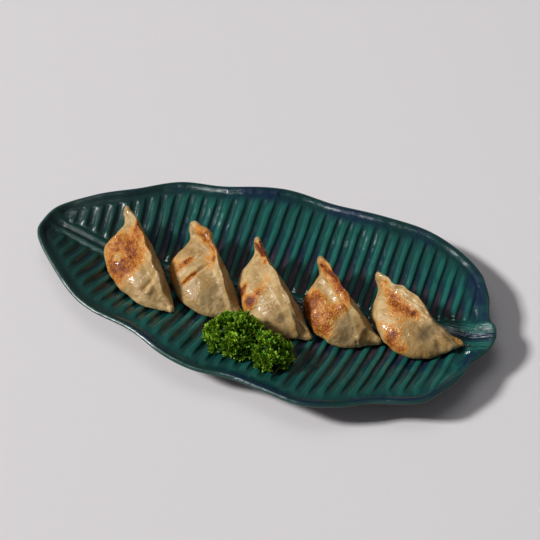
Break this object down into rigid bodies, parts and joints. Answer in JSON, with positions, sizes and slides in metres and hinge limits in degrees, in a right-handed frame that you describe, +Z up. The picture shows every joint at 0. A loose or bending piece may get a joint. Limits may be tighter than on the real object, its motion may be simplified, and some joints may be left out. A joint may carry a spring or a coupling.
{
  "type": "gyoza dumplings on a leaf plate",
  "caption": "Pan-fried crescent dumplings laid side by side across a ribbed leaf-shaped ceramic plate, with a curly parsley garnish; food prop that rests on a table.",
  "frame": {"origin": "centre of the overall box at the height of the plate's flat foot", "axes": "+X along the leaf toward its stem end, +Y across the leaf toward the dumplings' raised tips, +Z up"},
  "size_m": [0.3152, 0.1728, 0.0362],
  "materials": {
    "plate": "glossy teal green glaze, darker and bluer in the valleys",
    "dough": "steamed and fried wheat dough, slightly oily, browned in patches",
    "parsley": "fresh curly leaf, semi-matte green"
  },
  "bodies": {
    "root": {"plate": "plate", "gyoza_1": "dough", "gyoza_2": "dough", "gyoza_3": "dough", "gyoza_4": "dough", "gyoza_5": "dough", "parsley_large": "parsley", "parsley_small": "parsley"}
  },
  "joints": []
}
